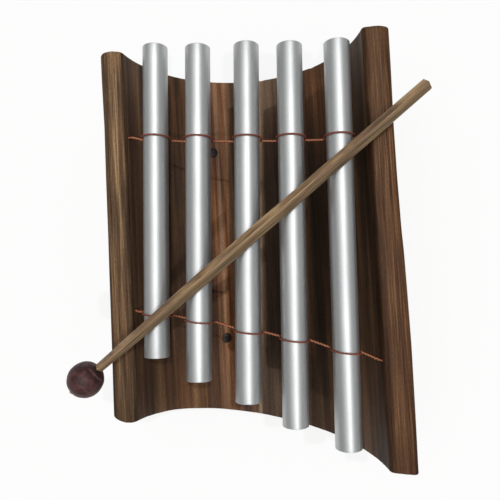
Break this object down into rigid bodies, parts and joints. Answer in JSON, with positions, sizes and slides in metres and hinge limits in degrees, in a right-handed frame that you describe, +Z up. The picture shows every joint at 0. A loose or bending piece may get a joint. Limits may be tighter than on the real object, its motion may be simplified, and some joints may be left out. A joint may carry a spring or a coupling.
{
  "type": "bamboo xylophone",
  "caption": "Metal sounding tubes hung on twined cords over a dark split-bamboo trough on wooden feet, with a ball-headed bamboo mallet laid across them.",
  "frame": {"origin": "middle of the whole instrument's box, mallet included, on the surface that it stands on", "axes": "+X runs across the tubes towards the longest, +Y along the trough to its square-cut rear end, +Z up"},
  "size_m": [0.2292, 0.273, 0.1092],
  "materials": {
    "stained_bamboo": "dark stain under satin varnish",
    "foot_wood": "dark stain, satin",
    "dark_screw": "black oxide, satin",
    "satin_aluminium": "satin, brushed along the tube",
    "waxed_cord": "waxed, copper sheen",
    "whittled_bamboo": "whittled, thin varnish",
    "ball_rubber": "matte, uneven"
  },
  "bodies": {
    "root": {"bamboo_trough": "stained_bamboo", "foot_front": "foot_wood", "foot_rear": "foot_wood", "foot_screw_front_left": "dark_screw", "foot_screw_front_right": "dark_screw", "foot_screw_rear_left": "dark_screw", "foot_screw_rear_right": "dark_screw", "cord_rear_end_left": "waxed_cord", "cord_rear_span_12": "waxed_cord", "cord_rear_span_23": "waxed_cord", "cord_rear_span_34": "waxed_cord", "cord_rear_span_45": "waxed_cord", "cord_rear_end_right": "waxed_cord", "cord_front_end_left": "waxed_cord", "cord_front_span_12": "waxed_cord", "cord_front_span_23": "waxed_cord", "cord_front_span_34": "waxed_cord", "cord_front_span_45": "waxed_cord", "cord_front_end_right": "waxed_cord"},
    "loops_1": {"cord_rear_loop_1": "waxed_cord", "cord_front_loop_1": "waxed_cord"},
    "loops_2": {"cord_rear_loop_2": "waxed_cord", "cord_front_loop_2": "waxed_cord"},
    "loops_3": {"cord_rear_loop_3": "waxed_cord", "cord_front_loop_3": "waxed_cord"},
    "loops_4": {"cord_rear_loop_4": "waxed_cord", "cord_front_loop_4": "waxed_cord"},
    "loops_5": {"cord_rear_loop_5": "waxed_cord", "cord_front_loop_5": "waxed_cord"},
    "tube_1": {"tube_1": "satin_aluminium"},
    "tube_2": {"tube_2": "satin_aluminium"},
    "tube_3": {"tube_3": "satin_aluminium"},
    "tube_4": {"tube_4": "satin_aluminium"},
    "tube_5": {"tube_5": "satin_aluminium"},
    "mallet": {"mallet_stick": "whittled_bamboo", "mallet_ball": "ball_rubber"}
  },
  "joints": [
    {"name": "tube_1_dip", "type": "slide", "parent": "root", "child": "loops_1", "axis": [0, 0, 1], "range_m": [-0.003, 0], "stiffness_N_per_m": 500, "springref_m": 0.0009, "deforming": ["cord_rear_end_left", "cord_rear_span_12", "cord_front_end_left", "cord_front_span_12"]},
    {"name": "tube_2_dip", "type": "slide", "parent": "root", "child": "loops_2", "axis": [0, 0, 1], "range_m": [-0.003, 0], "stiffness_N_per_m": 500, "springref_m": 0.0009, "deforming": ["cord_rear_span_12", "cord_rear_span_23", "cord_front_span_12", "cord_front_span_23"]},
    {"name": "tube_3_dip", "type": "slide", "parent": "root", "child": "loops_3", "axis": [0, 0, 1], "range_m": [-0.003, 0], "stiffness_N_per_m": 500, "springref_m": 0.0009, "deforming": ["cord_rear_span_23", "cord_rear_span_34", "cord_front_span_23", "cord_front_span_34"]},
    {"name": "tube_4_dip", "type": "slide", "parent": "root", "child": "loops_4", "axis": [0, 0, 1], "range_m": [-0.003, 0], "stiffness_N_per_m": 500, "springref_m": 0.0009, "deforming": ["cord_rear_span_34", "cord_rear_span_45", "cord_front_span_34", "cord_front_span_45"]},
    {"name": "tube_5_dip", "type": "slide", "parent": "root", "child": "loops_5", "axis": [0, 0, 1], "range_m": [-0.003, 0], "stiffness_N_per_m": 500, "springref_m": 0.0009, "deforming": ["cord_rear_span_45", "cord_rear_end_right", "cord_front_span_45", "cord_front_end_right"]},
    {"name": "tube_1_slide", "type": "slide", "parent": "loops_1", "child": "tube_1", "axis": [0.0419, 0.9991, 0], "range_m": [-0.004, 0.004]},
    {"name": "tube_2_slide", "type": "slide", "parent": "loops_2", "child": "tube_2", "axis": [0.0471, 0.9989, 0], "range_m": [-0.004, 0.004]},
    {"name": "tube_3_slide", "type": "slide", "parent": "loops_3", "child": "tube_3", "axis": [0.0489, 0.9988, 0], "range_m": [-0.004, 0.004]},
    {"name": "tube_4_slide", "type": "slide", "parent": "loops_4", "child": "tube_4", "axis": [0.0419, 0.9991, 0], "range_m": [-0.004, 0.004]},
    {"name": "tube_5_slide", "type": "slide", "parent": "loops_5", "child": "tube_5", "axis": [0.0332, 0.9995, 0], "range_m": [-0.004, 0.004]},
    {"name": "mallet_lift", "type": "slide", "parent": "root", "child": "mallet", "axis": [0, 0, 1], "range_m": [0, 0.12]}
  ]
}
